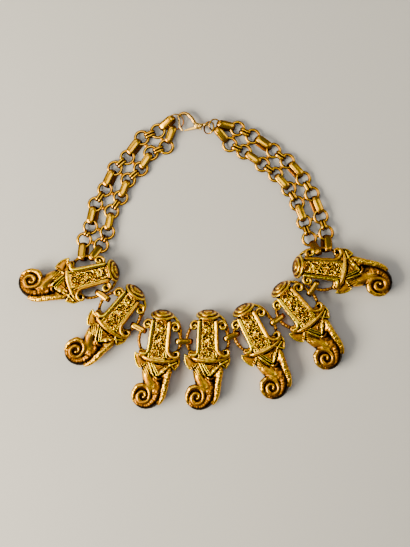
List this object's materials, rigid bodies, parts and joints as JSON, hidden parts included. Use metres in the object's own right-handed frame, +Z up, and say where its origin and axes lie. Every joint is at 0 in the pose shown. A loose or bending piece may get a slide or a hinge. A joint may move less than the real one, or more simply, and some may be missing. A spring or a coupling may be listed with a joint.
{
  "type": "necklace",
  "caption": "Short statement necklace lying flat: antiqued gold cast scroll pendants in a row, double side chains of flat rings and grooved links, and a lobster clasp.",
  "frame": {"origin": "on the surface that the necklace lies on, under the middle of its overall box", "axes": "+X across the necklace towards the right of the picture, +Y from the pendants towards the clasp, +Z up from the surface towards the viewer"},
  "size_m": [0.2326, 0.1856, 0.014],
  "materials": {
    "antique_gold_casting": "satin, with a dark antique patina in the recesses",
    "gold_chain": "polished, slightly darkened between the wires",
    "gold_clasp": "polished"
  },
  "bodies": {
    "necklace": {"pendant_1": "antique_gold_casting", "pendant_2": "antique_gold_casting", "pendant_3": "antique_gold_casting", "pendant_4": "antique_gold_casting", "pendant_5": "antique_gold_casting", "pendant_6": "antique_gold_casting", "pendant_7": "antique_gold_casting", "connector_1": "gold_chain", "connector_2": "gold_chain", "connector_3": "gold_chain", "connector_4": "gold_chain", "connector_5": "gold_chain", "connector_6": "gold_chain", "wide_link_left_outer_1": "gold_chain", "wide_link_left_outer_2": "gold_chain", "wide_link_left_outer_3": "gold_chain", "wide_link_left_outer_4": "gold_chain", "wide_link_left_outer_5": "gold_chain", "wide_link_left_inner_1": "gold_chain", "wide_link_left_inner_2": "gold_chain", "wide_link_left_inner_3": "gold_chain", "wide_link_left_inner_4": "gold_chain", "wide_link_left_inner_5": "gold_chain", "wide_link_right_outer_1": "gold_chain", "wide_link_right_outer_2": "gold_chain", "wide_link_right_outer_3": "gold_chain", "wide_link_right_outer_4": "gold_chain", "wide_link_right_outer_5": "gold_chain", "wide_link_right_inner_1": "gold_chain", "wide_link_right_inner_2": "gold_chain", "wide_link_right_inner_3": "gold_chain", "wide_link_right_inner_4": "gold_chain", "wide_link_right_inner_5": "gold_chain", "twin_ring_left_1": "gold_chain", "twin_ring_left_2": "gold_chain", "twin_ring_left_3": "gold_chain", "twin_ring_left_4": "gold_chain", "twin_ring_left_5": "gold_chain", "twin_ring_left_6": "gold_chain", "twin_ring_left_7": "gold_chain", "twin_ring_left_8": "gold_chain", "twin_ring_right_1": "gold_chain", "twin_ring_right_2": "gold_chain", "twin_ring_right_3": "gold_chain", "twin_ring_right_4": "gold_chain", "twin_ring_right_5": "gold_chain", "twin_ring_right_6": "gold_chain", "twin_ring_right_7": "gold_chain", "twin_ring_right_8": "gold_chain", "small_rings_left_upper": "gold_chain", "small_rings_left_lower": "gold_chain", "small_rings_right_upper": "gold_chain", "small_rings_right_lower": "gold_chain", "catch_ring": "gold_chain", "tail_ring": "gold_chain", "end_ring": "gold_chain", "clasp_body": "gold_clasp", "clasp_pin": "gold_clasp"},
    "lever": {"clasp_lever": "gold_clasp"}
  },
  "joints": [
    {"name": "lever_hinge", "type": "hinge", "parent": "necklace", "child": "lever", "pos_m": [-0.00432, 0.08389, 0.00313], "axis": [0, 0, -1], "range_deg": [0, 30], "stiffness_Nm_per_rad": 0.01, "springref_deg": -20.05}
  ]
}
